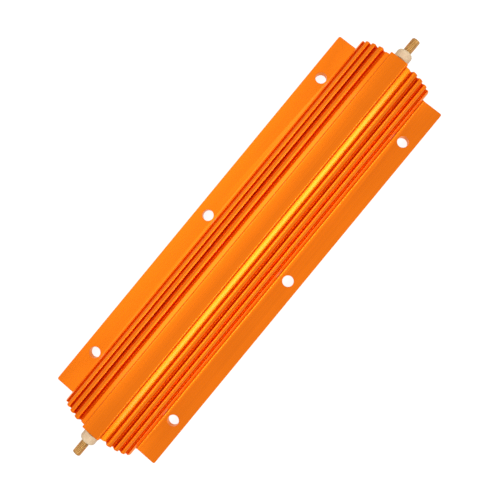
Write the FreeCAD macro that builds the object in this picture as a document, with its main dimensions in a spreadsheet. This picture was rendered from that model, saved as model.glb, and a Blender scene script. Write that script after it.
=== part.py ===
import FreeCAD, Part

import math
import os

import Sketcher
from FreeCAD import Placement, Rotation, Vector

# Aluminium housed power resistor: a finned extrusion with two bolting flanges, and a wire-wound
# element potted in its bore with a stud terminal at each end.
# Millimetres. The origin is the centre of the base. X runs along the extrusion, Y across it, Z up.

# Every driving size, once: its name, its value and what it is
SIZES = (
    ("body_length", 250, "extrusion, end to end"),
    ("flange_width", 72, "across both flanges"),
    ("flange_thickness", 5.5, "flange, from the base up"),
    ("flange_corner", 1, "radius of the flange's four corners, seen from above"),
    ("body_width", 45, "across the finned body"),
    ("root_radius", 1.2, "fillet between flange and side wall"),
    ("side_drop", 17.8, "top of the straight side wall, below the flat top"),
    ("plateau_width", 11.3, "flat top between its two shoulders"),
    ("plateau_height", 35.3, "flat top, from the base"),
    ("plateau_edge", 0.8, "radius along the flat top's two edges"),
    ("crest_drop", 0.85, "top of the arc that all fin crests touch, below the flat top"),
    ("crest_bulge", 4.6, "how far that arc's radius exceeds half the body's width"),
    ("first_groove", 21, "degrees from upright to the groove beside the plateau"),
    ("groove_step", 11.2, "degrees from one groove to the next"),
    ("groove_count", 4, "grooves on each side"),
    ("groove_width", 1, "slot between two fins"),
    ("groove_depth", 2.8, "slot, measured in from the crest arc"),
    ("crest_radius", 0.7, "rounding on the inner edge of each fin"),
    ("lip_radius", 0.3, "rounding on the outer edge of each fin"),
    ("fin_fall", 1.3, "how far a fin's outer edge lies inside the crest arc"),
    ("axis_drop", 14.8, "bore and terminals, below the flat top"),
    ("bore_diameter", 21, "bore for the element"),
    ("hole_diameter", 6.4, "mounting hole for an M6 screw"),
    ("hole_end", 25, "outer holes from the extrusion's ends"),
    ("hole_inset", 0.25, "rows of holes, inwards of the middle of each flange"),
    ("hole_columns", 3, "holes along each flange"),
    ("core_inset", 25, "ceramic core's end inside the extrusion's end"),
    ("core_diameter", 13, "outside of the ceramic core"),
    ("core_bore", 6, "hole through the ceramic core"),
    ("ribbon_width", 16, "resistance ribbon, along the core"),
    ("ribbon_thickness", 0.6, "resistance ribbon, out from the core"),
    ("winding_pitch", 32, "advance of the winding per turn"),
    ("cap_wall", 0.8, "wall of the end cap"),
    ("cap_floor", 1.2, "floor of the end cap"),
    ("cap_overlap", 9, "length of core inside the end cap"),
    ("stud_diameter", 5, "terminal stud over its thread"),
    ("shank_diameter", 4.5, "terminal stud below its thread"),
    ("stud_reach", 18.1, "stud tip beyond the extrusion's end"),
    ("stud_chamfer", 0.6, "chamfer on the stud's tip"),
    ("stud_head_diameter", 9, "head that joins the end cap"),
    ("stud_head_height", 1.6, "height of that head"),
    ("plug_length", 11, "end plug inside the bore"),
    ("plug_recess", 0.8, "end plug's face below the extrusion's end"),
    ("boss_reach", 3.8, "end plug's boss beyond the extrusion's end"),
    ("insulator_diameter", 9, "ceramic insulator and the boss that it meets"),
    ("insulator_reach", 9.6, "insulator's face beyond the extrusion's end"),
    ("insulator_chamfer", 1.2, "bevel on the insulator's outer edge"),
    ("spigot_diameter", 7, "insulator's spigot inside the end plug"),
    ("spigot_length", 8, "depth of the spigot's seat"),
    ("joint_gap", 0.3, "open joint between boss and insulator"),
    ("fit_gap", 0.05, "clearance between pieces that seat on each other"),
    ("potting_gap", 0.1, "clearance between potting and element"),
    ("cutter_margin", 5, "how far a cutting profile stands clear of the metal"),
)

os.makedirs("parts", exist_ok=True)
doc = FreeCAD.newDocument("power_resistor")
sheet = doc.addObject("Spreadsheet::Sheet", "Sizes")
for row, (name, value, meaning) in enumerate(SIZES, start=1):
    sheet.set("A%d" % row, name)
    sheet.set("B%d" % row, str(value))
    sheet.set("C%d" % row, meaning)
    sheet.setAlias("B%d" % row, name)
doc.recompute()


def bound(expression):
    """The expression with each size name tied to its cell in the sheet."""
    for name in sorted((entry[0] for entry in SIZES), key=len, reverse=True):
        expression = expression.replace("{%s}" % name, "Sizes." + name)
    return expression


def amount(expression):
    """The expression's value as a plain number."""
    return float(sheet.evalExpression(bound(expression)))


def new_body(label):
    """An empty body whose label names its file."""
    body = doc.addObject("PartDesign::Body", label)
    body.Label = label
    return body


def plane_of(body, role):
    """One of the body's own origin planes or axes."""
    for feature in body.Origin.OriginFeatures:
        if feature.Role == role:
            return feature
    raise ValueError("the body has no " + role)


def new_sketch(body, name, role):
    """A sketch laid on one of the body's own origin planes."""
    sketch = body.newObject("Sketcher::SketchObject", name)
    sketch.AttachmentSupport = (plane_of(body, role), [""])
    sketch.MapMode = "FlatFace"
    return sketch


def tie(sketch, constraint, expression):
    """Add a dimension to the sketch and bind it to the sizes."""
    index = sketch.addConstraint(constraint)
    sketch.setExpression("Constraints[%d]" % index, bound(expression))


def place_point(sketch, edge, end, across, up):
    """Hold one end of an edge at two bound coordinates. A 0 puts it on the sketch's axis."""
    if across == "0":
        sketch.addConstraint(Sketcher.Constraint("PointOnObject", edge, end, -2))
    else:
        tie(sketch, Sketcher.Constraint("DistanceX", -1, 1, edge, end, amount(across)), across)
    if up == "0":
        sketch.addConstraint(Sketcher.Constraint("PointOnObject", edge, end, -1))
    else:
        tie(sketch, Sketcher.Constraint("DistanceY", -1, 1, edge, end, amount(up)), up)


def draw_outline(sketch, corners):
    """Close a straight-sided outline through corners given as pairs of expressions."""
    points = [Vector(amount(across), amount(up), 0) for across, up in corners]
    count = len(points)
    for index in range(count):
        line = Part.LineSegment(points[index], points[(index + 1) % count])
        sketch.addGeometry(line, False)
    for index in range(count):
        sketch.addConstraint(Sketcher.Constraint("Coincident", index, 2, (index + 1) % count, 1))
        place_point(sketch, index, 1, *corners[index])


def edge_names(feature, wanted):
    """Names of the feature's edges that the test accepts."""
    edges = feature.Shape.Edges
    return ["Edge%d" % (index + 1) for index, edge in enumerate(edges) if wanted(edge)]


def runs_through(edge, **place):
    """Whether both ends of a straight edge lie at the given distances from the middle planes."""
    return all(
        math.isclose(abs(getattr(vertex.Point, axis)), distance, abs_tol=1e-4)
        for vertex in edge.Vertexes
        for axis, distance in place.items()
    )


def rounded(body, feature, name, edges, radius):
    """Fillet the named edges of a feature with a bound radius."""
    fillet = body.newObject("PartDesign::Fillet", name)
    fillet.Base = (feature, edges)
    fillet.setExpression("Radius", bound(radius))
    doc.recompute()
    return fillet


def turned(label, corners, side=0):
    """A piece turned about the terminal axis. A side of -1 faces it the other way along X."""
    body = new_body(label)
    sketch = new_sketch(body, label + "_section", "XZ_Plane")
    draw_outline(sketch, corners)
    turning = body.newObject("PartDesign::Revolution", label + "_turned")
    turning.Profile = sketch
    turning.ReferenceAxis = (sketch, ["H_Axis"])
    turning.Angle = 360
    raise_to_axis(body, side)
    doc.recompute()
    return body


def raise_to_axis(body, side=0):
    """Set a body that is drawn about its own X axis at the height of the terminals."""
    facing = Rotation(Vector(0, 0, 1), 180 if side < 0 else 0)
    body.Placement = Placement(Vector(0, 0, amount(AXIS_HEIGHT)), facing)
    body.setExpression("Placement.Base.z", bound(AXIS_HEIGHT))


# Places along X, from the middle outwards, that several pieces share
END_FACE = "{body_length} / 2"
CORE_END = "(" + END_FACE + " - {core_inset})"
CAP_RIM = "(" + CORE_END + " - {cap_overlap})"
CAP_FACE = "(" + CORE_END + " + {fit_gap} + {cap_floor})"
HEAD_BACK = "(" + CAP_FACE + " + {fit_gap})"
HEAD_FACE = "(" + HEAD_BACK + " + {stud_head_height})"
PLUG_FACE = "(" + END_FACE + " - {plug_recess})"
PLUG_BACK = "(" + PLUG_FACE + " - {plug_length})"
BOSS_FACE = "(" + END_FACE + " + {boss_reach})"
SPIGOT_SEAT = "(" + BOSS_FACE + " - {spigot_length})"
INSULATOR_FACE = "(" + END_FACE + " + {insulator_reach})"
THREAD_START = "(" + INSULATOR_FACE + " + {fit_gap})"
STUD_TIP = "(" + END_FACE + " + {stud_reach})"

# Radii about the terminal axis that several pieces share
CORE_RADIUS = "{core_diameter} / 2"
CAP_RADIUS = "(" + CORE_RADIUS + " + {fit_gap} + {cap_wall})"
WINDING_SEAT = "(" + CORE_RADIUS + " + {fit_gap})"
WINDING_RADIUS = "(" + WINDING_SEAT + " + {ribbon_thickness})"
LINING_RADIUS = "({bore_diameter} / 2 - {fit_gap})"
STUD_RADIUS = "{stud_diameter} / 2"
SHANK_RADIUS = "{shank_diameter} / 2"
HEAD_RADIUS = "{stud_head_diameter} / 2"
SPIGOT_RADIUS = "{spigot_diameter} / 2"
INSULATOR_RADIUS = "{insulator_diameter} / 2"

# Places in the section of the extrusion. The upright through the crest arc's centre is Z.
HALF_WIDTH = "{body_width} / 2"
AXIS_HEIGHT = "({plateau_height} - {axis_drop})"
SIDE_TOP = "({plateau_height} - {side_drop})"
CREST_ARC = "(" + HALF_WIDTH + " + {crest_bulge})"
CREST_CENTRE = "({plateau_height} - {crest_drop} - " + CREST_ARC + ")"
HOLE_ROW = "(({flange_width} + {body_width}) / 4 - {hole_inset})"
SLOT_FLOOR = "(" + CREST_ARC + " - {groove_depth})"
SLOT_SPRING = "(" + SLOT_FLOOR + " + {groove_width} / 2)"
CREST_OFFSET = "({groove_width} / 2 + {crest_radius})"
CREST_LEVEL = "sqrt(" + CREST_ARC + " ^ 2 - " + CREST_OFFSET + " ^ 2)"
FIRST_ANGLE = "({first_groove} * 1 deg)"
SHOULDER_FOOT_Y = (
    "(" + SLOT_SPRING + " * sin" + FIRST_ANGLE + " - {groove_width} / 2 * cos" + FIRST_ANGLE + ")"
)
SHOULDER_FOOT_Z = (
    "(" + CREST_CENTRE + " + " + SLOT_SPRING + " * cos" + FIRST_ANGLE
    + " + {groove_width} / 2 * sin" + FIRST_ANGLE + ")"
)
GROOVE_TOP_Y = "(" + CREST_ARC + " * sin" + FIRST_ANGLE + ")"
GROOVE_TOP_Z = "(" + CREST_CENTRE + " + " + CREST_ARC + " * cos" + FIRST_ANGLE + ")"


def corner_arc():
    """Radius and centre of the arc that joins the straight side wall to the crest arc."""
    rise = amount(SIDE_TOP + " - " + CREST_CENTRE)
    half = amount(HALF_WIDTH)
    crest = amount(CREST_ARC)
    radius = (crest ** 2 - half ** 2 - rise ** 2) / (2 * (crest - half))
    return radius, Vector(half - radius, amount(SIDE_TOP), 0)


def draw_half_section(sketch):
    """Half of the extrusion's section, before its grooves: base, flange, side wall, crest arc."""
    half_flange, half_body = amount("{flange_width} / 2"), amount(HALF_WIDTH)
    thickness, root = amount("{flange_thickness}"), amount("{root_radius}")
    side_top = amount(SIDE_TOP)
    crest = amount(CREST_ARC)
    crest_centre = Vector(0, amount(CREST_CENTRE), 0)
    bend, bend_centre = corner_arc()
    outward = (bend_centre - crest_centre).normalize()
    join = crest_centre + outward * crest
    join_angle = math.atan2(outward.y, outward.x)
    groove_top = Vector(amount(GROOVE_TOP_Y), amount(GROOVE_TOP_Z), 0)
    top_angle = math.atan2(groove_top.y - crest_centre.y, groove_top.x)
    foot = Vector(amount(SHOULDER_FOOT_Y), amount(SHOULDER_FOOT_Z), 0)
    upright = Vector(0, 0, 1)

    base, rim, top, fillet, side, corner, crests, wall, level, middle = range(10)
    sketch.addGeometry([
        Part.LineSegment(Vector(0, 0, 0), Vector(half_flange, 0, 0)),
        Part.LineSegment(Vector(half_flange, 0, 0), Vector(half_flange, thickness, 0)),
        Part.LineSegment(Vector(half_flange, thickness, 0), Vector(half_body + root, thickness, 0)),
        Part.ArcOfCircle(
            Part.Circle(Vector(half_body + root, thickness + root, 0), upright, root),
            math.pi, 1.5 * math.pi,
        ),
        Part.LineSegment(Vector(half_body, thickness + root, 0), Vector(half_body, side_top, 0)),
        Part.ArcOfCircle(Part.Circle(bend_centre, upright, bend), 0, join_angle),
        Part.ArcOfCircle(Part.Circle(crest_centre, upright, crest), join_angle, top_angle),
        Part.LineSegment(groove_top, foot),
        Part.LineSegment(foot, Vector(0, foot.y, 0)),
        Part.LineSegment(Vector(0, foot.y, 0), Vector(0, 0, 0)),
    ], False)

    sketch.addConstraint([
        Sketcher.Constraint("Coincident", base, 1, -1, 1),
        Sketcher.Constraint("Coincident", base, 2, rim, 1),
        Sketcher.Constraint("Coincident", rim, 2, top, 1),
        Sketcher.Constraint("Tangent", top, 2, fillet, 2),
        Sketcher.Constraint("Tangent", fillet, 1, side, 1),
        Sketcher.Constraint("Tangent", side, 2, corner, 1),
        Sketcher.Constraint("Tangent", corner, 2, crests, 1),
        Sketcher.Constraint("Coincident", crests, 2, wall, 1),
        Sketcher.Constraint("Coincident", wall, 2, level, 1),
        Sketcher.Constraint("Coincident", level, 2, middle, 1),
        Sketcher.Constraint("Coincident", middle, 2, base, 1),
        Sketcher.Constraint("Horizontal", base),
        Sketcher.Constraint("Vertical", rim),
        Sketcher.Constraint("Horizontal", top),
        Sketcher.Constraint("Vertical", side),
        Sketcher.Constraint("Horizontal", level),
        Sketcher.Constraint("PointOnObject", crests, 3, -2),
        Sketcher.Constraint("PointOnObject", level, 2, -2),
    ])
    tie(sketch, Sketcher.Constraint("DistanceX", base, 1, base, 2, half_flange), "{flange_width} / 2")
    tie(sketch, Sketcher.Constraint("DistanceY", rim, 1, rim, 2, thickness), "{flange_thickness}")
    tie(sketch, Sketcher.Constraint("Radius", fillet, root), "{root_radius}")
    tie(sketch, Sketcher.Constraint("DistanceX", -1, 1, side, 2, half_body), HALF_WIDTH)
    tie(sketch, Sketcher.Constraint("DistanceY", -1, 1, side, 2, side_top), SIDE_TOP)
    tie(sketch, Sketcher.Constraint("Radius", crests, crest), CREST_ARC)
    tie(sketch, Sketcher.Constraint("DistanceY", -1, 1, crests, 3, crest_centre.y), CREST_CENTRE)
    tie(sketch, Sketcher.Constraint("DistanceX", -1, 1, wall, 1, groove_top.x), GROOVE_TOP_Y)
    place_point(sketch, wall, 2, SHOULDER_FOOT_Y, SHOULDER_FOOT_Z)


def draw_groove(sketch):
    """The cut between two fins, drawn upright over the crest arc's centre.

    It falls from the crest of the fin on the left to that fin's rounded outer edge, drops down the
    slot, and comes up the slot's other wall round the crest of the next fin.
    """
    half_slot, spring = amount("{groove_width} / 2"), amount(SLOT_SPRING)
    crest_x, crest_y = amount(CREST_OFFSET), amount(CREST_LEVEL)
    rounding = amount("{crest_radius}")
    clear = amount(CREST_ARC + " + {cutter_margin}")
    lip = Vector(-half_slot, amount(CREST_ARC + " - {fin_fall}"), 0)
    lip_centre = Vector(lip.x - amount("{lip_radius}"), lip.y, 0)
    last_angle = "({groove_step} * 1 deg - asin(" + CREST_OFFSET + " / " + CREST_ARC + "))"
    last_x = "(-" + CREST_ARC + " * sin" + last_angle + ")"
    last_y = "(" + CREST_ARC + " * cos" + last_angle + ")"
    last = Vector(amount(last_x), amount(last_y), 0)
    upright = Vector(0, 0, 1)
    reach = last - lip_centre
    touch = math.atan2(reach.y, reach.x) - math.acos(amount("{lip_radius}") / reach.Length)
    landing = lip_centre + Vector(math.cos(touch), math.sin(touch), 0) * amount("{lip_radius}")

    floor, wall, crest, rise, over, drop, fall, edge, inner = range(9)
    sketch.addGeometry([
        Part.ArcOfCircle(Part.Circle(Vector(0, spring, 0), upright, half_slot), math.pi, 2 * math.pi),
        Part.LineSegment(Vector(half_slot, spring, 0), Vector(half_slot, crest_y - rounding, 0)),
        Part.ArcOfCircle(
            Part.Circle(Vector(crest_x, crest_y - rounding, 0), upright, rounding),
            math.pi / 2, math.pi,
        ),
        Part.LineSegment(Vector(crest_x, crest_y, 0), Vector(crest_x, clear, 0)),
        Part.LineSegment(Vector(crest_x, clear, 0), Vector(last.x, clear, 0)),
        Part.LineSegment(Vector(last.x, clear, 0), last),
        Part.LineSegment(last, landing),
        Part.ArcOfCircle(Part.Circle(lip_centre, upright, amount("{lip_radius}")), 0, touch),
        Part.LineSegment(lip, Vector(-half_slot, spring, 0)),
    ], False)
    sketch.addConstraint([
        Sketcher.Constraint("Tangent", floor, 2, wall, 1),
        Sketcher.Constraint("Tangent", wall, 2, crest, 2),
        Sketcher.Constraint("Coincident", crest, 1, rise, 1),
        Sketcher.Constraint("Coincident", rise, 2, over, 1),
        Sketcher.Constraint("Coincident", over, 2, drop, 1),
        Sketcher.Constraint("Coincident", drop, 2, fall, 1),
        Sketcher.Constraint("Tangent", fall, 2, edge, 2),
        Sketcher.Constraint("Tangent", edge, 1, inner, 1),
        Sketcher.Constraint("Tangent", inner, 2, floor, 1),
        Sketcher.Constraint("Vertical", wall),
        Sketcher.Constraint("Vertical", rise),
        Sketcher.Constraint("Horizontal", over),
        Sketcher.Constraint("Vertical", drop),
        Sketcher.Constraint("PointOnObject", floor, 3, -2),
    ])
    tie(sketch, Sketcher.Constraint("Radius", floor, half_slot), "{groove_width} / 2")
    tie(sketch, Sketcher.Constraint("DistanceY", -1, 1, floor, 3, spring), SLOT_SPRING)
    tie(sketch, Sketcher.Constraint("Radius", crest, rounding), "{crest_radius}")
    place_point(sketch, rise, 1, CREST_OFFSET, CREST_LEVEL)
    tie(sketch, Sketcher.Constraint("DistanceY", -1, 1, rise, 2, clear), CREST_ARC + " + {cutter_margin}")
    place_point(sketch, fall, 1, last_x, last_y)
    tie(sketch, Sketcher.Constraint("Radius", edge, amount("{lip_radius}")), "{lip_radius}")
    tie(sketch, Sketcher.Constraint("DistanceY", -1, 1, inner, 1, lip.y), CREST_ARC + " - {fin_fall}")


def cut_grooves(body):
    """One groove, spread round the crest arc's centre and mirrored to the other side."""
    sketch = new_sketch(body, "groove_section", "YZ_Plane")
    draw_groove(sketch)
    lean = Rotation(Vector(0, 0, -1), amount("{first_groove}"))
    sketch.AttachmentOffset = Placement(Vector(0, amount(CREST_CENTRE), 0), lean)
    sketch.setExpression("AttachmentOffset.Base.y", bound(CREST_CENTRE))
    sketch.setExpression("AttachmentOffset.Rotation.Angle", bound("{first_groove} * 1 deg"))
    doc.recompute()
    groove = body.newObject("PartDesign::Pocket", "groove")
    groove.Profile = sketch
    groove.SideType = "Symmetric"
    groove.setExpression("Length", bound("{body_length} + {cutter_margin}"))
    doc.recompute()
    spread = body.newObject("PartDesign::MultiTransform", "grooves")
    around = body.newObject("PartDesign::PolarPattern", "grooves_around_arc")
    around.Axis = (sketch, ["N_Axis"])
    around.Reversed = True
    around.setExpression("Angle", bound("{groove_step} * ({groove_count} - 1)"))
    around.setExpression("Occurrences", bound("{groove_count}"))
    across = body.newObject("PartDesign::Mirrored", "grooves_across")
    across.MirrorPlane = (plane_of(body, "XZ_Plane"), [""])
    spread.Originals = [groove]
    spread.Transformations = [around, across]
    body.Tip = spread
    doc.recompute()


def add_plateau(body):
    """The flat top, whose shoulders slope down to the floor of the grooves beside it."""
    sketch = new_sketch(body, "plateau_section", "YZ_Plane")
    draw_outline(sketch, [
        ("-" + SHOULDER_FOOT_Y, SHOULDER_FOOT_Z),
        (SHOULDER_FOOT_Y, SHOULDER_FOOT_Z),
        ("{plateau_width} / 2", "{plateau_height}"),
        ("-{plateau_width} / 2", "{plateau_height}"),
    ])
    doc.recompute()
    plateau = body.newObject("PartDesign::Pad", "plateau")
    plateau.Profile = sketch
    plateau.SideType = "Symmetric"
    plateau.setExpression("Length", bound("{body_length}"))
    doc.recompute()
    half, top = amount("{plateau_width} / 2"), amount("{plateau_height}")
    edges = edge_names(plateau, lambda edge: runs_through(edge, y=half, z=top))
    rounded(body, plateau, "plateau_edges", edges, "{plateau_edge}")


def make_housing():
    """The extrusion: padded section, grooves, plateau, bore and mounting holes."""
    body = new_body("housing")
    section = new_sketch(body, "half_section", "YZ_Plane")
    draw_half_section(section)
    half = body.newObject("PartDesign::Pad", "half_extrusion")
    half.Profile = section
    half.SideType = "Symmetric"
    half.setExpression("Length", bound("{body_length}"))
    doc.recompute()
    whole = body.newObject("PartDesign::Mirrored", "whole_extrusion")
    whole.Originals = [half]
    whole.MirrorPlane = (plane_of(body, "XZ_Plane"), [""])
    body.Tip = whole
    doc.recompute()

    end, rim = amount(END_FACE), amount("{flange_width} / 2")
    corners = edge_names(whole, lambda edge: runs_through(edge, x=end, y=rim))
    rounded(body, whole, "flange_corners", corners, "{flange_corner}")

    cut_grooves(body)
    add_plateau(body)

    bore_sketch = new_sketch(body, "bore_circle", "YZ_Plane")
    radius = amount("{bore_diameter} / 2")
    centre = Vector(0, amount(AXIS_HEIGHT), 0)
    circle = bore_sketch.addGeometry(Part.Circle(centre, Vector(0, 0, 1), radius), False)
    tie(bore_sketch, Sketcher.Constraint("Radius", circle, radius), "{bore_diameter} / 2")
    place_point(bore_sketch, circle, 3, "0", AXIS_HEIGHT)
    bore = body.newObject("PartDesign::Pocket", "bore")
    bore.Profile = bore_sketch
    bore.SideType = "Symmetric"
    bore.setExpression("Length", bound("{body_length} + {cutter_margin}"))
    doc.recompute()

    hole_sketch = new_sketch(body, "hole_centres", "XY_Plane")
    hole_sketch.AttachmentOffset = Placement(Vector(0, 0, amount("{flange_thickness}")), Rotation())
    hole_sketch.setExpression("AttachmentOffset.Base.z", bound("{flange_thickness}"))
    first_x = "{hole_end} - " + END_FACE
    hole_radius = amount("{hole_diameter} / 2")
    for first_y in ("-" + HOLE_ROW, HOLE_ROW):
        centre = Vector(amount(first_x), amount(first_y), 0)
        circle = hole_sketch.addGeometry(Part.Circle(centre, Vector(0, 0, 1), hole_radius), False)
        tie(hole_sketch, Sketcher.Constraint("Radius", circle, hole_radius), "{hole_diameter} / 2")
        place_point(hole_sketch, circle, 3, first_x, first_y)
    doc.recompute()
    holes = body.newObject("PartDesign::Hole", "mounting_holes")
    holes.Profile = hole_sketch
    holes.setExpression("Diameter", bound("{hole_diameter}"))
    holes.DepthType = "ThroughAll"
    doc.recompute()
    along = body.newObject("PartDesign::LinearPattern", "holes_along_flanges")
    along.Originals = [holes]
    along.Direction = (plane_of(body, "X_Axis"), [""])
    along.setExpression("Length", bound("{body_length} - 2 * {hole_end}"))
    along.setExpression("Occurrences", bound("{hole_columns}"))
    body.Tip = along
    doc.recompute()
    return body


def make_core():
    """The ceramic tube that carries the winding."""
    return turned("ceramic_core", [
        ("-" + CORE_END, "{core_bore} / 2"),
        (CORE_END, "{core_bore} / 2"),
        (CORE_END, CORE_RADIUS),
        ("-" + CORE_END, CORE_RADIUS),
    ])


def make_winding():
    """The resistance ribbon, one helix from end cap to end cap."""
    body = new_body("resistance_winding")
    sketch = new_sketch(body, "ribbon_section", "XZ_Plane")
    start = "(-" + CAP_RIM + " + {fit_gap})"
    draw_outline(sketch, [
        (start, WINDING_SEAT),
        (start + " + {ribbon_width}", WINDING_SEAT),
        (start + " + {ribbon_width}", WINDING_RADIUS),
        (start, WINDING_RADIUS),
    ])
    doc.recompute()
    coil = body.newObject("PartDesign::AdditiveHelix", "helix")
    coil.Profile = sketch
    coil.ReferenceAxis = (sketch, ["H_Axis"])
    coil.Mode = "pitch-height-angle"
    coil.setExpression("Pitch", bound("{winding_pitch}"))
    coil.setExpression("Height", bound("-2 * " + start + " - {ribbon_width}"))
    raise_to_axis(body)
    doc.recompute()
    return body


def make_cap(label, side):
    """The metal cup pressed over one end of the core."""
    return turned(label, [
        (CAP_RIM, CORE_RADIUS + " + {fit_gap}"),
        (CORE_END + " + {fit_gap}", CORE_RADIUS + " + {fit_gap}"),
        (CORE_END + " + {fit_gap}", "0"),
        (CAP_FACE, "0"),
        (CAP_FACE, CAP_RADIUS),
        (CAP_RIM, CAP_RADIUS),
    ], side)


def make_stud(label, side):
    """The terminal stud: a head against the end cap, a plain shank, the thread's length outside."""
    return turned(label, [
        (HEAD_BACK, "0"),
        (STUD_TIP, "0"),
        (STUD_TIP, STUD_RADIUS + " - {stud_chamfer}"),
        (STUD_TIP + " - {stud_chamfer}", STUD_RADIUS),
        (THREAD_START, STUD_RADIUS),
        (THREAD_START, SHANK_RADIUS),
        (HEAD_FACE, SHANK_RADIUS),
        (HEAD_FACE, HEAD_RADIUS),
        (HEAD_BACK, HEAD_RADIUS),
    ], side)


def make_plug(label, side):
    """The plug that closes one end of the bore, with a boss that carries the insulator."""
    return turned(label, [
        (PLUG_BACK, STUD_RADIUS + " + {fit_gap}"),
        (SPIGOT_SEAT, STUD_RADIUS + " + {fit_gap}"),
        (SPIGOT_SEAT, SPIGOT_RADIUS + " + {fit_gap}"),
        (BOSS_FACE, SPIGOT_RADIUS + " + {fit_gap}"),
        (BOSS_FACE, INSULATOR_RADIUS),
        (PLUG_FACE, INSULATOR_RADIUS),
        (PLUG_FACE, LINING_RADIUS),
        (PLUG_BACK, LINING_RADIUS),
    ], side)


def make_insulator(label, side):
    """The ceramic bushing round one stud: a spigot in the plug and a bevelled head outside."""
    head_back = "(" + BOSS_FACE + " + {joint_gap})"
    return turned(label, [
        (SPIGOT_SEAT + " + {fit_gap}", STUD_RADIUS + " + {fit_gap}"),
        (INSULATOR_FACE, STUD_RADIUS + " + {fit_gap}"),
        (INSULATOR_FACE, INSULATOR_RADIUS + " - {insulator_chamfer}"),
        (INSULATOR_FACE + " - {insulator_chamfer}", INSULATOR_RADIUS),
        (head_back, INSULATOR_RADIUS),
        (head_back, SPIGOT_RADIUS),
        (SPIGOT_SEAT + " + {fit_gap}", SPIGOT_RADIUS),
    ], side)


def make_potting():
    """The fill between element and bore. Its inside steps down over caps, heads and studs."""
    body = turned("potting_sleeve", [
        ("0", WINDING_RADIUS + " + {potting_gap}"),
        (CAP_RIM, WINDING_RADIUS + " + {potting_gap}"),
        (CAP_RIM, CAP_RADIUS + " + {potting_gap}"),
        (CAP_FACE + " + {potting_gap}", CAP_RADIUS + " + {potting_gap}"),
        (CAP_FACE + " + {potting_gap}", HEAD_RADIUS + " + {potting_gap}"),
        (HEAD_FACE + " + {potting_gap}", HEAD_RADIUS + " + {potting_gap}"),
        (HEAD_FACE + " + {potting_gap}", SHANK_RADIUS + " + {potting_gap}"),
        (PLUG_BACK + " - {fit_gap}", SHANK_RADIUS + " + {potting_gap}"),
        (PLUG_BACK + " - {fit_gap}", LINING_RADIUS),
        ("0", LINING_RADIUS),
    ])
    whole = body.newObject("PartDesign::Mirrored", "potting_whole")
    whole.Originals = [body.Tip]
    whole.MirrorPlane = (plane_of(body, "YZ_Plane"), [""])
    body.Tip = whole
    doc.recompute()
    return body


pieces = [make_housing(), make_core(), make_winding(), make_potting()]
for hand, side in (("right", 1), ("left", -1)):
    pieces.append(make_cap("end_cap_" + hand, side))
    pieces.append(make_stud("terminal_stud_" + hand, side))
    pieces.append(make_plug("end_plug_" + hand, side))
    pieces.append(make_insulator("terminal_insulator_" + hand, side))
doc.recompute()

for item in doc.Objects:
    if "Invalid" in item.State or "Error" in item.State:
        raise RuntimeError(item.Label + " was not built")
for piece in pieces:
    if piece.Shape.isNull() or not piece.Shape.isValid() or len(piece.Shape.Solids) != 1:
        raise RuntimeError(piece.Label + " is not one sound solid")
for piece in pieces:
    piece.Shape.exportStep("parts/" + piece.Label + ".step")
    print(piece.Label, "volume %.1f mm3" % piece.Shape.Volume)
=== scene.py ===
import math

import bpy
from mathutils import Matrix, Vector


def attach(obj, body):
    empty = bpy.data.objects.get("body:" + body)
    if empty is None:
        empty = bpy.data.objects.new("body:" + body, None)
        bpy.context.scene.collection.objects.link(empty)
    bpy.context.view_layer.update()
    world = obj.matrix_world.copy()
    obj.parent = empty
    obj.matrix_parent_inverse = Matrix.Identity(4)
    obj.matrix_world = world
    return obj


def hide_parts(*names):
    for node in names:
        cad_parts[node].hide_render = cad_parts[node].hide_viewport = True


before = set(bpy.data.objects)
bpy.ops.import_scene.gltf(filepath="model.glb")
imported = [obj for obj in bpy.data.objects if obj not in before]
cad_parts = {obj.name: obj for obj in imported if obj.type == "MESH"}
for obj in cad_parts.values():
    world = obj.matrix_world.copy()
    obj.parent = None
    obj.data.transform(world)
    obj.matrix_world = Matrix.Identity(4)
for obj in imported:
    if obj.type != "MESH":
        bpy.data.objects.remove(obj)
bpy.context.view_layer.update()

# Aluminium housed power resistor. Metres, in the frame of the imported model: X runs along the
# extrusion, Y across it, Z up from the base.

# The camera looks down on the part, a little from the -Y side. +X rises to the right in its
# picture.
CAMERA_AT = Vector((0.0012, -0.02292, 0.37411))
CAMERA_AIM = Vector((0.00103, 0.01396, 0.0055))
CAMERA_LENS = 47.62
CAMERA_SHIFT = (0.0407, -0.0386)
LENGTHWISE_TILT = math.radians(50.487)
SENSOR_WIDTH = 36
NEAREST_SEEN = 0.01

# The extrusion's section. Angles lean from upright, about an axis along X at the fins' centre.
MM = 0.001
HAIR = 0.01 * MM
LENGTH = 250 * MM
FLANGE_WIDTH = 72 * MM
FLANGE_THICKNESS = 5.5 * MM
FLANGE_CORNER = 1 * MM
BODY_WIDTH = 45.6 * MM
ROOT_FILLET = 1.2 * MM
CORE_HALF_WIDTH = 20 * MM
CHEEK_RADIUS = 13 * MM
CHEEK_TOP = 17.5 * MM
CENTRE_HEIGHT = 7.35 * MM
CHANNEL_RADIUS = 24.4 * MM
CREST_RADIUS = 26.9 * MM
SLOT_ANGLES = (20.6, 31.5, 42.4, 53.3)
SLOT_WIDTH = 1.4 * MM
SLOT_FLOORS = (23.6 * MM, 24.25 * MM, 24.9 * MM, 25.5 * MM)
FIN_INNER_ROUNDING = 0.8 * MM
FIN_OUTER_ROUNDING = 2.3 * MM
FLAT_HEIGHT = 35.3 * MM
FLAT_WIDTH = 11.3 * MM
FLAT_FOOT = 11.9 * MM
FLAT_FOOT_HEIGHT = 30.9 * MM
FLAT_ROUNDING = 0.8 * MM
BORE_RADIUS = 10.5 * MM
BORE_HEIGHT = 20.5 * MM
HOLE_RADIUS = 3.2 * MM
HOLE_ROW = 29 * MM
HOLE_PITCH = 100 * MM

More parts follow.
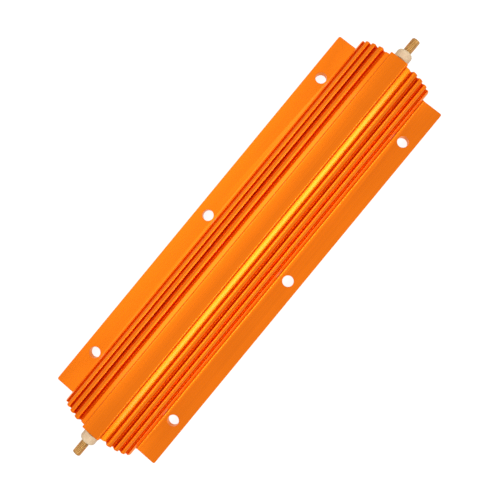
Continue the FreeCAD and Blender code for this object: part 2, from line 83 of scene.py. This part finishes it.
# How far each strip runs past the extrusion's ends before they are trimmed. The lengths differ,
# so that no two ends share a plane when the strips are joined.
OVERRUN = 4 * MM
CHEEK_OVERRUN = 3.6 * MM
FIN_OVERRUN = 2.8 * MM
FLAT_OVERRUN = 2 * MM
FILL_OVERRUN = 1.6 * MM
CUT_OVERRUN = 8 * MM

# The terminals, measured out from the centre of the extrusion along X
STUD_HEAD = (101.3 * MM, 102.9 * MM)
STUD_HEAD_RADIUS = 4.5 * MM
SHANK_RADIUS = 2.25 * MM
THREAD_START = 134.65 * MM
THREAD_END = 143.1 * MM
THREAD_RADIUS = 2.48 * MM
THREAD_ROOT = 2.05 * MM
THREAD_PITCH = 0.8 * MM
THREAD_RIDGE = 0.43 * MM
TIP_CHAMFER = 0.55 * MM
INSULATOR_HEAD = (129.1 * MM, 134.6 * MM)
INSULATOR_RADIUS = 4.5 * MM
INSULATOR_ROUNDING = 1.8 * MM
INSULATOR_EASING = 0.35 * MM
SPIGOT_START = 120.85 * MM
SPIGOT_RADIUS = 3.5 * MM
STUD_HOLE = 2.55 * MM
RIDGE_DEPTH = 0.4 * MM
JOIN_DEPTH = 1 * MM

# Sides of the round pieces, and steps of the roundings
CORE_SIDES = 384
CHEEK_SIDES = 192
BORE_SIDES = 128
ROD_SIDES = 96
HOLE_SIDES = 64
HEAD_SIDES = 48
THREAD_STEPS = 32
CREST_STEPS = 6
FILLET_STEPS = 5
RIM_STEPS = 7
CORE_TIP_STEPS = 4
TIP_STEPS = 3
MERGE_DISTANCE = 0.002 * MM
SMOOTH_BELOW = math.radians(35)
X, Y, Z = 0, 1, 2

# Colours, linear
ANODISED = (0.80, 0.166, 0.001, 1)
ANODISED_DEEP = (0.75, 0.150, 0.001, 1)
CREAM = (0.74, 0.56, 0.35, 1)
CREAM_DARK = (0.62, 0.46, 0.28, 1)
RESIN = (0.62, 0.30, 0.12, 1)
RESIN_DARK = (0.50, 0.22, 0.08, 1)
PASSIVATED = (0.72, 0.47, 0.19, 1)
PASSIVATED_DARK = (0.52, 0.33, 0.13, 1)
BARE_ALLOY = (0.40, 0.39, 0.38, 1)
BARE_ALLOY_DARK = (0.28, 0.27, 0.26, 1)
FLOOR_WHITE = (0.22, 0.22, 0.22, 1)
FLOOR_GLOW = 0.90
WORLD_LEVEL = 0.75
FLOOR_SIZE = 4


def aim_camera():
    """A camera at the photograph's angle, rolled so that the part lies across the picture."""
    data = bpy.data.cameras.new("camera")
    data.lens = CAMERA_LENS
    data.sensor_width = SENSOR_WIDTH
    data.shift_x, data.shift_y = CAMERA_SHIFT
    data.clip_start = NEAREST_SEEN
    camera = bpy.data.objects.new("camera", data)
    bpy.context.scene.collection.objects.link(camera)
    back = (CAMERA_AT - CAMERA_AIM).normalized()
    along = Vector((1, 0, 0))
    along = (along - along.dot(back) * back).normalized()
    across = back.cross(along)
    right = math.cos(LENGTHWISE_TILT) * along - math.sin(LENGTHWISE_TILT) * across
    up = math.sin(LENGTHWISE_TILT) * along + math.cos(LENGTHWISE_TILT) * across
    turn = Matrix((right, up, back)).transposed().to_4x4()
    camera.matrix_world = Matrix.Translation(CAMERA_AT) @ turn
    bpy.context.scene.camera = camera


def soft_light(name, place, target, size, power):
    """A rectangular soft box that faces a point."""
    data = bpy.data.lights.new(name, "AREA")
    data.shape = "RECTANGLE"
    data.size, data.size_y = size
    data.energy = power
    light = bpy.data.objects.new(name, data)
    bpy.context.scene.collection.objects.link(light)
    light.location = place
    light.rotation_euler = (Vector(target) - Vector(place)).to_track_quat("-Z", "Y").to_euler()


def shown_rays(nodes, links):
    """1 for rays from the camera, off a glossy surface or through a clear one, else 0."""
    path = nodes.new("ShaderNodeLightPath")
    seen = nodes.new("ShaderNodeMath")
    seen.operation = "MAXIMUM"
    links.new(path.outputs["Is Camera Ray"], seen.inputs[0])
    links.new(path.outputs["Is Glossy Ray"], seen.inputs[1])
    both = nodes.new("ShaderNodeMath")
    both.operation = "MAXIMUM"
    links.new(seen.outputs[0], both.inputs[0])
    links.new(path.outputs["Is Transmission Ray"], both.inputs[1])
    return both.outputs[0]


def light_world():
    """Even light all round, and a white background where it is seen."""
    world = bpy.data.worlds.new("studio")
    bpy.context.scene.world = world
    world.use_nodes = True
    nodes, links = world.node_tree.nodes, world.node_tree.links
    nodes.clear()
    output = nodes.new("ShaderNodeOutputWorld")
    around = nodes.new("ShaderNodeBackground")
    around.inputs["Color"].default_value = (1, 1, 1, 1)
    around.inputs["Strength"].default_value = WORLD_LEVEL
    seen = nodes.new("ShaderNodeBackground")
    seen.inputs["Color"].default_value = (1, 1, 1, 1)
    seen.inputs["Strength"].default_value = 1
    choose = nodes.new("ShaderNodeMixShader")
    links.new(shown_rays(nodes, links), choose.inputs[0])
    links.new(around.outputs[0], choose.inputs[1])
    links.new(seen.outputs[0], choose.inputs[2])
    links.new(choose.outputs[0], output.inputs["Surface"])


def lay_floor():
    """A white floor under the part, which keeps the part's soft shadow."""
    bpy.ops.mesh.primitive_plane_add(size=FLOOR_SIZE, location=(0, 0, 0))
    floor = bpy.context.object
    floor.name = "floor"
    material = bpy.data.materials.new("floor_white")
    material.use_nodes = True
    nodes, links = material.node_tree.nodes, material.node_tree.links
    nodes.clear()
    output = nodes.new("ShaderNodeOutputMaterial")
    paper = nodes.new("ShaderNodeBsdfDiffuse")
    paper.inputs["Color"].default_value = FLOOR_WHITE
    glow = nodes.new("ShaderNodeEmission")
    glow.inputs["Color"].default_value = (1, 1, 1, 1)
    share = nodes.new("ShaderNodeMath")
    share.operation = "MULTIPLY"
    share.inputs[1].default_value = FLOOR_GLOW
    links.new(shown_rays(nodes, links), share.inputs[0])
    links.new(share.outputs[0], glow.inputs["Strength"])
    both = nodes.new("ShaderNodeAddShader")
    links.new(paper.outputs[0], both.inputs[0])
    links.new(glow.outputs[0], both.inputs[1])
    links.new(both.outputs[0], output.inputs["Surface"])
    floor.data.materials.append(material)


class Graph:
    """A material under construction, with one Principled shader and object coordinates."""

    def __init__(self, name, **settings):
        self.material = bpy.data.materials.new(name)
        self.material.use_nodes = True
        self.nodes = self.material.node_tree.nodes
        self.links = self.material.node_tree.links
        self.nodes.clear()
        self.output = self.nodes.new("ShaderNodeOutputMaterial")
        self.shader = self.nodes.new("ShaderNodeBsdfPrincipled")
        self.links.new(self.shader.outputs[0], self.output.inputs["Surface"])
        self.place = self.nodes.new("ShaderNodeTexCoord")
        for key, value in settings.items():
            self.shader.inputs[key.replace("_", " ")].default_value = value

    def noise(self, scale, detail=3, roughness=0.5, stretch=(1, 1, 1)):
        """Noise between 0 and 1 in object coordinates, stretched by the given factors."""
        mapping = self.nodes.new("ShaderNodeMapping")
        mapping.inputs["Scale"].default_value = stretch
        self.links.new(self.place.outputs["Object"], mapping.inputs["Vector"])
        texture = self.nodes.new("ShaderNodeTexNoise")
        texture.inputs["Scale"].default_value = scale
        texture.inputs["Detail"].default_value = detail
        texture.inputs["Roughness"].default_value = roughness
        self.links.new(mapping.outputs[0], texture.inputs["Vector"])
        return texture.outputs[0]

    def spread(self, value, low, high, start=0.3, end=0.7):
        """The value between start and end, spread over low to high."""
        spread = self.nodes.new("ShaderNodeMapRange")
        spread.inputs["From Min"].default_value = start
        spread.inputs["From Max"].default_value = end
        spread.inputs["To Min"].default_value = low
        spread.inputs["To Max"].default_value = high
        self.links.new(value, spread.inputs["Value"])
        return spread.outputs[0]

    def math(self, operation, first, second):
        """Two values combined. Either may be a plain number."""
        step = self.nodes.new("ShaderNodeMath")
        step.operation = operation
        for socket, value in zip(step.inputs, (first, second)):
            if isinstance(value, (int, float)):
                socket.default_value = value
            else:
                self.links.new(value, socket)
        return step.outputs[0]

    def blend(self, factor, first, second):
        """Two colours mixed by a factor. Either may be a plain colour."""
        mix = self.nodes.new("ShaderNodeMix")
        mix.data_type = "RGBA"
        self.links.new(factor, mix.inputs["Factor"])
        for socket, value in ((mix.inputs[6], first), (mix.inputs[7], second)):
            if isinstance(value, tuple):
                socket.default_value = value
            else:
                self.links.new(value, socket)
        return mix.outputs[2]

    def bump(self, height, strength, distance, normal=None):
        """A bump of the given depth in metres, on top of another normal."""
        bump = self.nodes.new("ShaderNodeBump")
        bump.inputs["Strength"].default_value = strength
        bump.inputs["Distance"].default_value = distance
        self.links.new(height, bump.inputs["Height"])
        if normal is not None:
            self.links.new(normal, bump.inputs["Normal"])
        return bump.outputs[0]

    def send(self, **sockets):
        """Link values to the shader's sockets."""
        for key, value in sockets.items():
            self.links.new(value, self.shader.inputs[key.replace("_", " ")])
        return self.material


def anodised_aluminium():
    """Gold anodising over an extruded surface: fine lines along X, and saw marks on the ends."""
    graph = Graph(
        "gold_anodised", Metallic=1, Coat_Weight=0.18, Coat_Roughness=0.12,
        Specular_Tint=(1, 0.72, 0.45, 1),
    )
    lines = graph.noise(scale=1, detail=4, roughness=0.6, stretch=(5, 1400, 1400))
    bands = graph.noise(scale=1, detail=2, roughness=0.5, stretch=(2, 110, 110))
    grain = graph.noise(scale=2600, detail=2)
    clouds = graph.noise(scale=28, detail=3)

    direction = graph.nodes.new("ShaderNodeSeparateXYZ")
    graph.links.new(graph.place.outputs["Normal"], direction.inputs[0])
    endwise = graph.math("ABSOLUTE", direction.outputs["X"], 0)
    endwise = graph.spread(endwise, low=0, high=1, start=0.9, end=0.95)

    saw_centre = graph.nodes.new("ShaderNodeVectorMath")
    saw_centre.operation = "DISTANCE"
    saw_centre.inputs[1].default_value = (0, 0.09, 0.16)
    flat = graph.nodes.new("ShaderNodeVectorMath")
    flat.operation = "MULTIPLY"
    flat.inputs[1].default_value = (0, 1, 1)
    graph.links.new(graph.place.outputs["Object"], flat.inputs[0])
    graph.links.new(flat.outputs[0], saw_centre.inputs[0])
    sweep = graph.nodes.new("ShaderNodeTexNoise")
    sweep.noise_dimensions = "1D"
    sweep.inputs["Scale"].default_value = 2200
    sweep.inputs["Detail"].default_value = 2
    graph.links.new(saw_centre.outputs["Value"], sweep.inputs["W"])
    marks = graph.math("MULTIPLY", endwise, sweep.outputs[0])

    colour = graph.blend(graph.spread(bands, low=0, high=1), ANODISED, ANODISED_DEEP)
    colour = graph.blend(graph.spread(clouds, low=0, high=0.35), colour, ANODISED)
    rough = graph.spread(lines, low=0.22, high=0.30)
    rough = graph.math("ADD", rough, graph.spread(clouds, low=0, high=0.04))
    rough = graph.math("ADD", rough, graph.math("MULTIPLY", marks, 0.15))

    edges = graph.nodes.new("ShaderNodeBevel")
    edges.samples = 6
    edges.inputs["Radius"].default_value = 0.00025
    normal = graph.bump(lines, strength=0.07, distance=0.00003, normal=edges.outputs[0])
    normal = graph.bump(grain, strength=0.05, distance=0.00002, normal=normal)
    normal = graph.bump(marks, strength=0.5, distance=0.00006, normal=normal)
    return graph.send(Base_Color=colour, Roughness=rough, Normal=normal)


def pitted(name, light, dark, rough, size, **settings):
    """A dull fired or cast surface with fine pits and a faint mottle."""
    graph = Graph(name, **settings)
    mottle = graph.noise(size / 6, 4, 0.6)
    pits = graph.noise(size, 3, 0.6)
    colour = graph.blend(graph.spread(mottle, 0, 1), light, dark)
    colour = graph.blend(graph.spread(pits, 0, 0.5, 0.55, 0.75), colour, dark)
    roughness = graph.spread(mottle, rough - 0.05, rough + 0.08)
    normal = graph.bump(pits, 0.3, 0.00008)
    return graph.send(Base_Color=colour, Roughness=roughness, Normal=normal)


def turned_metal(name, light, dark, rough):
    """Plated metal with fine rings round the X axis and a little tarnish."""
    graph = Graph(name, Metallic=1)
    rings = graph.noise(1, 3, 0.6, (5200, 40, 40))
    tarnish = graph.noise(420, 4, 0.6)
    colour = graph.blend(graph.spread(tarnish, 0, 1), light, dark)
    roughness = graph.spread(rings, rough, rough + 0.1)
    roughness = graph.math("ADD", roughness, graph.spread(tarnish, low=0, high=0.1))
    normal = graph.bump(rings, 0.15, 0.00002)
    return graph.send(Base_Color=colour, Roughness=roughness, Normal=normal)


def dress(node, material):
    """Give a node of the frame this material."""
    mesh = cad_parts[node].data
    mesh.materials.clear()
    mesh.materials.append(material)


def take(piece):
    """Select one piece alone."""
    bpy.ops.object.select_all(action="DESELECT")
    piece.select_set(True)
    bpy.context.view_layer.objects.active = piece


def settle(piece, name):
    """Name a piece and write its place into its mesh."""
    take(piece)
    piece.name = piece.data.name = name
    bpy.ops.object.transform_apply(location=True, rotation=True, scale=True)
    return piece


def block(name, size, middle, lean=0):
    """A box of the given size, leaning about X."""
    bpy.ops.object.select_all(action="DESELECT")
    bpy.ops.mesh.primitive_cube_add(size=1, location=middle, rotation=(lean, 0, 0))
    bpy.ops.transform.resize(value=size, orient_type="LOCAL")
    return settle(bpy.context.object, name)


def rod(name, radius, start, end, across=0, up=0, sides=ROD_SIDES):
    """A cylinder along X, from start to end, with its axis at the given place."""
    bpy.ops.object.select_all(action="DESELECT")
    bpy.ops.mesh.primitive_cylinder_add(
        vertices=sides, radius=radius, depth=end - start,
        location=((start + end) / 2, across, up), rotation=(0, math.pi / 2, 0),
    )
    return settle(bpy.context.object, name)


def pick(piece, kind, wanted):
    """Enter edit mode with the edges or faces that the test accepts."""
    take(piece)
    bpy.ops.object.mode_set(mode="EDIT")
    bpy.ops.mesh.select_mode(type=kind)
    bpy.ops.mesh.select_all(action="DESELECT")
    bpy.ops.object.mode_set(mode="OBJECT")
    mesh = piece.data
    for element in mesh.edges if kind == "EDGE" else mesh.polygons:
        element.select = wanted([mesh.vertices[index].co for index in element.vertices])
    bpy.ops.object.mode_set(mode="EDIT")


def leave_edit():
    """Back to object mode."""
    bpy.ops.object.mode_set(mode="OBJECT")


def round_edges(piece, width, steps, wanted):
    """Round the edges that the test accepts."""
    pick(piece, "EDGE", wanted)
    bpy.ops.mesh.bevel(offset=width, offset_type="OFFSET", segments=steps, affect="EDGES")
    leave_edit()


def trim(piece, point, outward):
    """Cut away what lies outside a plane and close the cut."""
    take(piece)
    bpy.ops.object.mode_set(mode="EDIT")
    bpy.ops.mesh.select_all(action="SELECT")
    bpy.ops.mesh.bisect(plane_co=point, plane_no=outward, use_fill=True, clear_outer=True)
    leave_edit()


def combine(piece, other, operation):
    """Join another piece to this one, or cut it out, and delete the other."""
    take(piece)
    step = piece.modifiers.new("combine", "BOOLEAN")
    step.operation = operation
    step.solver = "EXACT"
    step.object = other
    bpy.ops.object.modifier_apply(modifier=step.name)
    bpy.data.objects.remove(other)


def finish(piece, node):
    """Merge doubles, make the faces agree, smooth the rounds and stand for the node.

    The faces come out pointing outwards on the housing and studs, but inwards on the insulators.
    """
    take(piece)
    bpy.ops.object.mode_set(mode="EDIT")
    bpy.ops.mesh.select_all(action="SELECT")
    bpy.ops.mesh.remove_doubles(threshold=MERGE_DISTANCE)
    bpy.ops.mesh.normals_make_consistent(inside=False)
    leave_edit()
    bpy.ops.object.shade_smooth_by_angle(angle=SMOOTH_BELOW)
    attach(piece, "root")
    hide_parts(node)
    return piece


def level(points, axis, value):
    """Whether every point has this value on an axis."""
    return all(abs(point[axis] - value) < HAIR for point in points)


def lengthwise(ends, across, up):
    """Whether an edge runs along X, at this distance from the middle and this height."""
    near = 10 * HAIR
    return all(abs(abs(end.y) - across) < near and abs(end.z - up) < near for end in ends)


def make_fin(inner, outer, side):
    """A fin between two slots, with its crest rounded more on the outer edge."""
    start = math.radians(inner) + SLOT_WIDTH / 2 / CREST_RADIUS
    end = math.radians(outer) - SLOT_WIDTH / 2 / CREST_RADIUS
    width = (end - start) * CREST_RADIUS
    depth = CREST_RADIUS - CHANNEL_RADIUS + OVERRUN
    size = (LENGTH + 2 * FIN_OVERRUN, width, depth)
    fin = block("fin", size, (0, 0, CREST_RADIUS - depth / 2))
    for hand, rounding in ((-1, FIN_INNER_ROUNDING), (1, FIN_OUTER_ROUNDING)):
        edge = hand * side * width / 2
        round_edges(
            fin, rounding, CREST_STEPS,
            lambda ends: level(ends, Y, edge) and level(ends, Z, CREST_RADIUS),
        )
    fin.rotation_euler = (-side * (start + end) / 2, 0, 0)
    fin.location = (0, 0, CENTRE_HEIGHT)
    return settle(fin, "fin")


def make_groove(lean, side, low, high, overrun):
    """A strip as wide as a slot, between two distances from the fins' centre."""
    size = (LENGTH + 2 * overrun, SLOT_WIDTH, high - low)
    groove = block("groove", size, (0, 0, (low + high) / 2))
    groove.rotation_euler = (-side * math.radians(lean), 0, 0)
    groove.location = (0, 0, CENTRE_HEIGHT)
    return settle(groove, "groove")


def make_cheek(side):
    """The body's outer wall on one side: an arch whose top is cut off at the last slot."""
    reach = LENGTH / 2 + CHEEK_OVERRUN
    middle = BODY_WIDTH / 2 - CHEEK_RADIUS
    cheek = rod("cheek", CHEEK_RADIUS, -reach, reach, side * middle, CHEEK_TOP, CHEEK_SIDES)
    trim(cheek, (0, 0, CHEEK_TOP), (0, 0, -1))
    pick(cheek, "FACE", lambda corners: level(corners, Z, CHEEK_TOP))
    drop = FLANGE_THICKNESS / 2 - CHEEK_TOP
    bpy.ops.mesh.extrude_region_move(TRANSFORM_OT_translate={"value": (0, 0, drop)})
    leave_edit()
    lean = math.radians(SLOT_ANGLES[-1]) + SLOT_WIDTH / 2 / CREST_RADIUS
    outward = (0, -side * math.cos(lean), math.sin(lean))
    trim(cheek, (0, 0, CENTRE_HEIGHT), outward)
    return cheek


def make_ribs():
    """The body's core and cheeks, with the fins and the slots between them."""
    reach = LENGTH / 2 + OVERRUN
    body = rod("housing_extrusion", CHANNEL_RADIUS, -reach, reach, 0, CENTRE_HEIGHT, CORE_SIDES)
    trim(body, (0, 0, FLANGE_THICKNESS / 2), (0, 0, -1))
    for side in (-1, 1):
        trim(body, (0, side * CORE_HALF_WIDTH, 0), (0, side, 0))
    for side in (-1, 1):
        combine(body, make_cheek(side), "UNION")
        for inner, outer in zip(SLOT_ANGLES, SLOT_ANGLES[1:]):
            combine(body, make_fin(inner, outer, side), "UNION")
        for lean, floor in zip(SLOT_ANGLES, SLOT_FLOORS):
            if floor < CHANNEL_RADIUS:
                cut = make_groove(lean, side, floor, CREST_RADIUS, CUT_OVERRUN)
                combine(body, cut, "DIFFERENCE")
            else:
                fill = make_groove(lean, side, floor - OVERRUN, floor, FILL_OVERRUN)
                combine(body, fill, "UNION")
    return body


def make_flat():
    """The flat top, with steep walls and rounded edges. It runs on down into the body."""
    rise = FLAT_HEIGHT - FLAT_FOOT_HEIGHT
    depth = rise + OVERRUN
    size = (LENGTH + 2 * FLAT_OVERRUN, FLAT_FOOT, depth)
    flat = block("flat_top", size, (0, 0, FLAT_HEIGHT - depth / 2))
    taper = (FLAT_FOOT - (FLAT_FOOT - FLAT_WIDTH) * depth / rise) / FLAT_FOOT
    pick(flat, "FACE", lambda corners: level(corners, Z, FLAT_HEIGHT))
    bpy.ops.transform.resize(value=(1, taper, 1))
    leave_edit()
    half = FLAT_FOOT * taper / 2
    round_edges(
        flat, FLAT_ROUNDING, CREST_STEPS, lambda ends: lengthwise(ends, half, FLAT_HEIGHT)
    )
    return flat


def make_flange():
    """The base plate, with its four upright corners rounded."""
    size = (LENGTH, FLANGE_WIDTH, FLANGE_THICKNESS)
    flange = block("flange", size, (0, 0, FLANGE_THICKNESS / 2))
    round_edges(
        flange, FLANGE_CORNER, CREST_STEPS,
        lambda ends: abs(ends[0].z - ends[1].z) > FLANGE_THICKNESS / 2,
    )
    return flange


def drill(housing):
    """The bore for the element, and three holes along each flange."""
    reach = LENGTH / 2 + OVERRUN
    bore = rod("bore", BORE_RADIUS, -reach, reach, 0, BORE_HEIGHT, BORE_SIDES)
    combine(housing, bore, "DIFFERENCE")
    for column in (-1, 0, 1):
        for side in (-1, 1):
            bpy.ops.object.select_all(action="DESELECT")
            bpy.ops.mesh.primitive_cylinder_add(
                vertices=HOLE_SIDES, radius=HOLE_RADIUS, depth=4 * FLANGE_THICKNESS,
                location=(column * HOLE_PITCH, side * HOLE_ROW, 0),
            )
            combine(housing, settle(bpy.context.object, "hole"), "DIFFERENCE")


def make_housing(material):
    """The finned extrusion, in one piece."""
    housing = make_ribs()
    combine(housing, make_flat(), "UNION")
    for side in (-1, 1):
        trim(housing, (side * LENGTH / 2, 0, 0), (side, 0, 0))
    combine(housing, make_flange(), "UNION")
    round_edges(
        housing, ROOT_FILLET, FILLET_STEPS,
        lambda ends: lengthwise(ends, BODY_WIDTH / 2, FLANGE_THICKNESS),
    )
    drill(housing)
    housing.data.materials.clear()
    housing.data.materials.append(material)
    return finish(housing, "housing")


def make_stud(material):
    """The right-hand terminal: a head, a plain shank and a metric thread."""
    thread_length = THREAD_END - THREAD_START
    stud = rod("threaded_stud_right", STUD_HEAD_RADIUS, *STUD_HEAD, sides=HEAD_SIDES)
    shank = rod("shank", SHANK_RADIUS, STUD_HEAD[0] + JOIN_DEPTH / 2, THREAD_START)
    combine(stud, shank, "UNION")
    core = rod("core", THREAD_ROOT, THREAD_START - JOIN_DEPTH, THREAD_END)
    round_edges(core, TIP_CHAMFER, CORE_TIP_STEPS, lambda ends: level(ends, X, THREAD_END))
    combine(stud, core, "UNION")

    bpy.ops.object.select_all(action="DESELECT")
    bpy.ops.mesh.primitive_circle_add(
        vertices=3, radius=THREAD_RIDGE, rotation=(math.pi / 2, 0, 0),
        location=(THREAD_START - THREAD_PITCH, 0, THREAD_RADIUS - RIDGE_DEPTH),
    )
    ridge = settle(bpy.context.object, "thread")
    turning = ridge.modifiers.new("turning", "SCREW")
    turning.axis = "X"
    turning.screw_offset = THREAD_PITCH
    turning.iterations = math.ceil(thread_length / THREAD_PITCH) + 2
    turning.steps = turning.render_steps = THREAD_STEPS
    turning.use_merge_vertices = True
    bpy.ops.object.modifier_apply(modifier=turning.name)
    bpy.ops.object.mode_set(mode="EDIT")
    bpy.ops.mesh.select_all(action="SELECT")
    bpy.ops.mesh.fill_holes(sides=3)
    bpy.ops.mesh.select_all(action="SELECT")
    bpy.ops.mesh.normals_make_consistent(inside=False)
    leave_edit()
    envelope = rod("envelope", THREAD_RADIUS, THREAD_START, THREAD_END)
    round_edges(envelope, TIP_CHAMFER, TIP_STEPS, lambda ends: level(ends, X, THREAD_END))
    combine(ridge, envelope, "INTERSECT")
    combine(stud, ridge, "UNION")
    return set_on_axis(stud, material)


def make_insulator(material):
    """The right-hand insulator: a fired ring with a well rounded rim, and its spigot."""
    root, face = INSULATOR_HEAD
    insulator = rod("insulator_ring_right", INSULATOR_RADIUS, root, face)
    for place, rounding in ((face, INSULATOR_ROUNDING), (root, INSULATOR_EASING)):
        round_edges(insulator, rounding, RIM_STEPS, lambda ends: level(ends, X, place))
    spigot = rod("spigot", SPIGOT_RADIUS, SPIGOT_START, root + JOIN_DEPTH)
    combine(insulator, spigot, "UNION")
    hole = rod("stud_hole", STUD_HOLE, SPIGOT_START - OVERRUN, face + OVERRUN)
    combine(insulator, hole, "DIFFERENCE")
    mouth = STUD_HOLE + 2.5 * HAIR
    round_edges(
        insulator, INSULATOR_EASING, TIP_STEPS,
        lambda ends: level(ends, X, face) and all(end.yz.length < mouth for end in ends),
    )
    return set_on_axis(insulator, material)


def set_on_axis(piece, material):
    """Raise a terminal piece to the height of the bore and give it its material."""
    piece.location = (0, 0, BORE_HEIGHT)
    piece.data.materials.clear()
    piece.data.materials.append(material)
    return settle(piece, piece.name)


def turned_copy(piece, name):
    """A copy for the other end, turned half round about Z, with a mesh of its own."""
    take(piece)
    bpy.ops.object.duplicate(linked=False)
    copy = bpy.context.object
    copy.rotation_euler = (0, 0, math.pi)
    return settle(copy, name)


aim_camera()
light_world()
lay_floor()
soft_light(
    "near_window", place=(0, -0.335, 0.54), target=(0, -0.0075, 0.03), size=(0.62, 0.10), power=1.60
)
soft_light(
    "far_soft_box", place=(0, 0.34, 0.62), target=(0, 0.01, 0.03), size=(0.60, 0.36), power=1.3
)

gold = anodised_aluminium()
ceramic = pitted("cream_ceramic", CREAM, CREAM_DARK, rough=0.5, size=3200)
resin = pitted("end_cement", RESIN, RESIN_DARK, rough=0.6, size=2400)
plated = turned_metal("plated_terminal", PASSIVATED, PASSIVATED_DARK, rough=0.28)
alloy = turned_metal("resistance_alloy", BARE_ALLOY, BARE_ALLOY_DARK, rough=0.35)

make_housing(gold)
dress("housing", gold)
dress("ceramic_core", ceramic)
dress("resistance_winding", alloy)
dress("potting_sleeve", resin)
for hand in ("left", "right"):
    dress("end_cap_" + hand, plated)
    dress("terminal_stud_" + hand, plated)
    dress("end_plug_" + hand, resin)
    dress("terminal_insulator_" + hand, ceramic)
for node, slot, piece in (
    ("terminal_stud_", "terminal_metal", make_stud(plated)),
    ("terminal_insulator_", "ceramic", make_insulator(ceramic)),
):
    other = turned_copy(piece, piece.name.replace("right", "left"))
    finish(piece, node + "right")
    finish(other, node + "left")

bpy.context.scene.view_settings.view_transform = "Standard"
